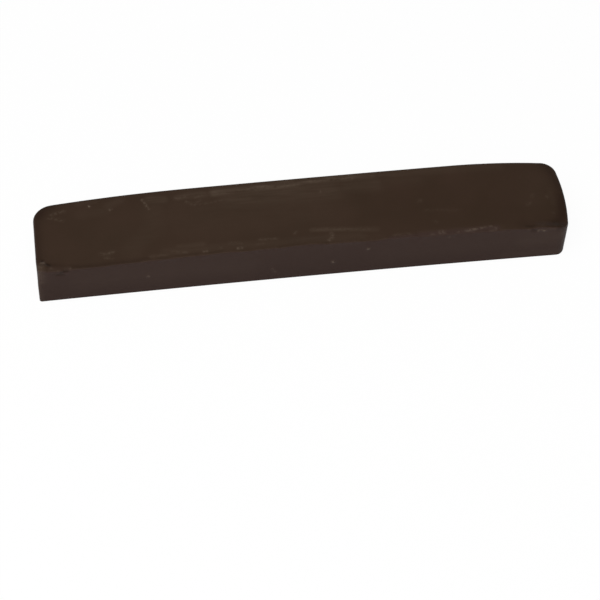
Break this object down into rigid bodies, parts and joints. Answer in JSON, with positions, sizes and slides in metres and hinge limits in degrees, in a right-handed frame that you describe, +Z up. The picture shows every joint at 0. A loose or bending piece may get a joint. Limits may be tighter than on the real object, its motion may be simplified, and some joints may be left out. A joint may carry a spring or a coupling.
{
  "type": "furniture repair wax stick",
  "caption": "Solid bar of dark brown hard wax, cast with a gently domed top and rounded corners, rubbed or melted into scratches and dents in wood.",
  "frame": {"origin": "on the base, under the middle of the bar's length and width", "axes": "+X along the bar, +Y from the front wall to the back wall, +Z up from the base to the poured face"},
  "size_m": [0.08, 0.0142, 0.0071],
  "materials": {
    "wax": "satin, cast, slightly scuffed"
  },
  "bodies": {
    "root": {"wax_stick": "wax"}
  },
  "joints": []
}
